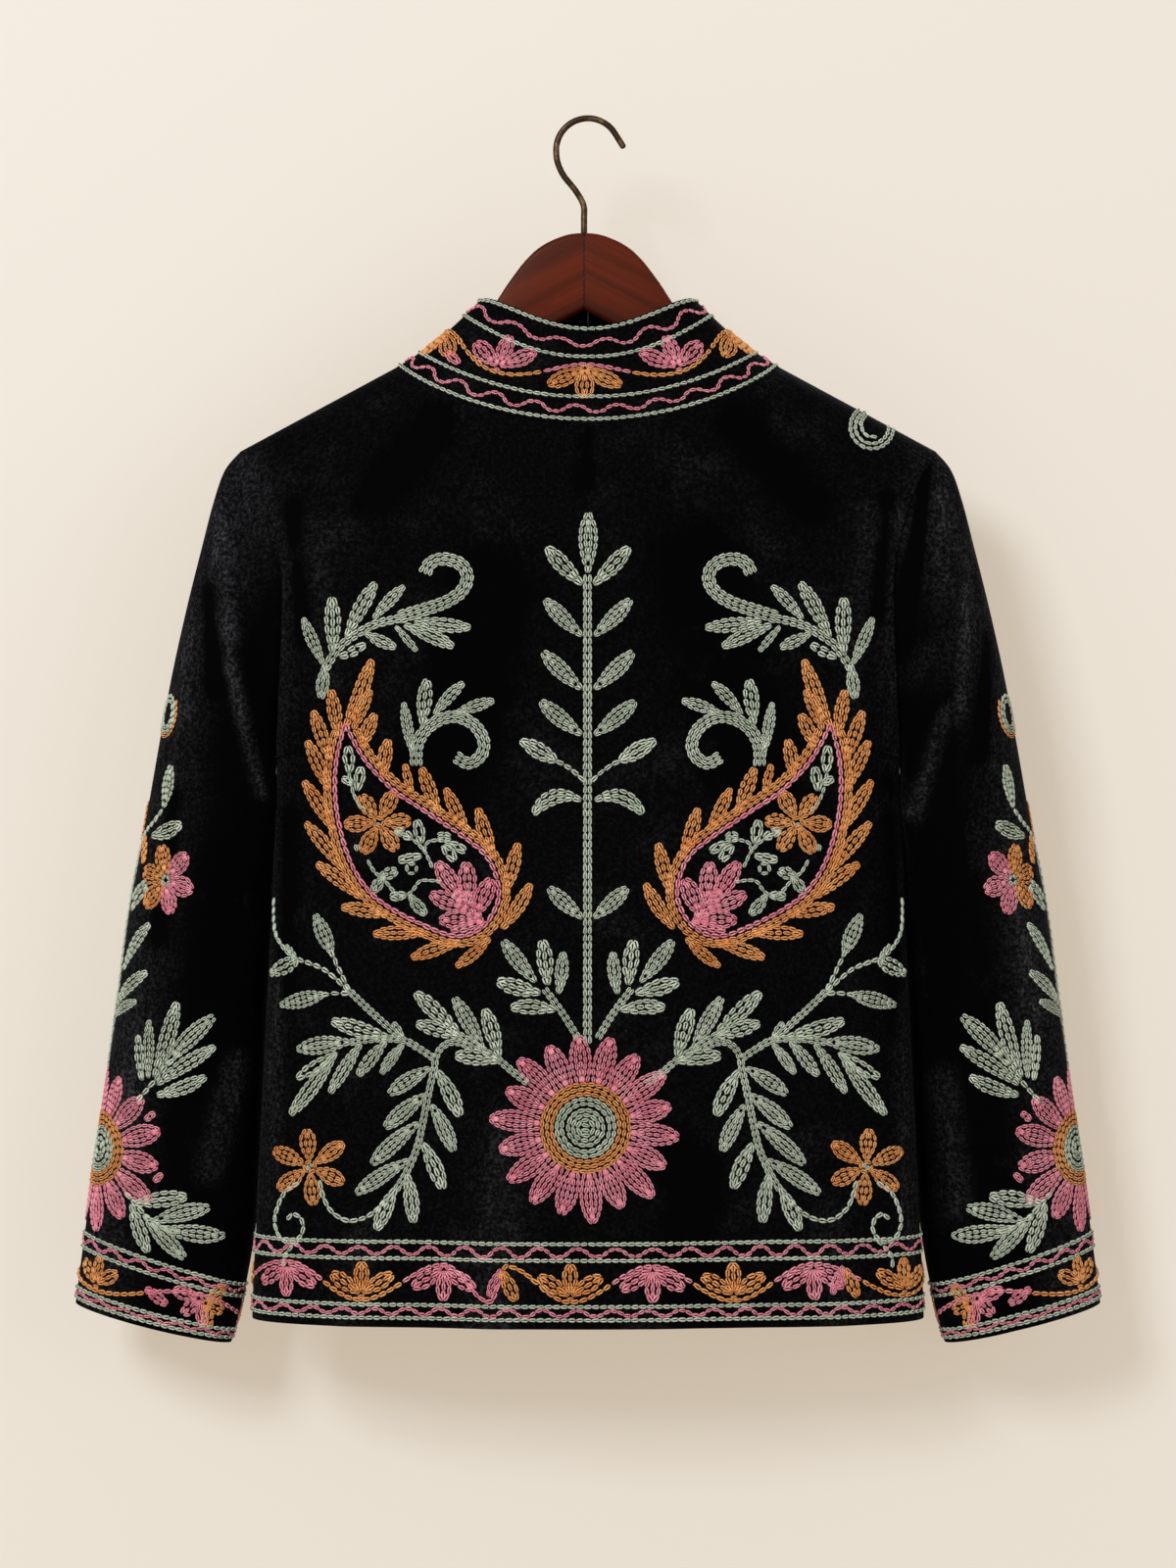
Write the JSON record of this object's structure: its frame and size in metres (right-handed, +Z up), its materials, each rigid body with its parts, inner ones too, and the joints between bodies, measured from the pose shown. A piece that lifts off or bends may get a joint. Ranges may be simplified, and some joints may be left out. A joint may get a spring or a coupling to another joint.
{
  "type": "embroidered velvet jacket on a wooden hanger",
  "caption": "Hip-length velvet jacket with a stand collar and long set-in sleeves, embroidered all over the back, hung on a wooden hanger with a wire hook.",
  "frame": {"origin": "inside top of the hanger's hook, where a rail or peg holds it", "axes": "+Z up, +X to the wearer's right, +Y to the wearer's front, so the back of the jacket faces -Y"},
  "size_m": [0.658, 0.1295, 0.7845],
  "materials": {
    "velvet": "black cotton velvet, matt with a soft sheen at its edges",
    "embroidery_green": "sage green wool yarn in chain stitch",
    "embroidery_orange": "marigold orange wool yarn in chain stitch",
    "embroidery_rose": "rose pink wool yarn in chain stitch",
    "wood": "red-brown stained wood, satin varnish",
    "bronze": "antique bronze wire"
  },
  "bodies": {
    "root": {"back": "velvet", "front_left": "velvet", "front_right": "velvet", "sleeve_left": "velvet", "sleeve_right": "velvet", "collar": "velvet", "hanger_arm_left": "wood", "hanger_arm_right": "wood", "hanger_hook": "bronze"}
  },
  "joints": []
}
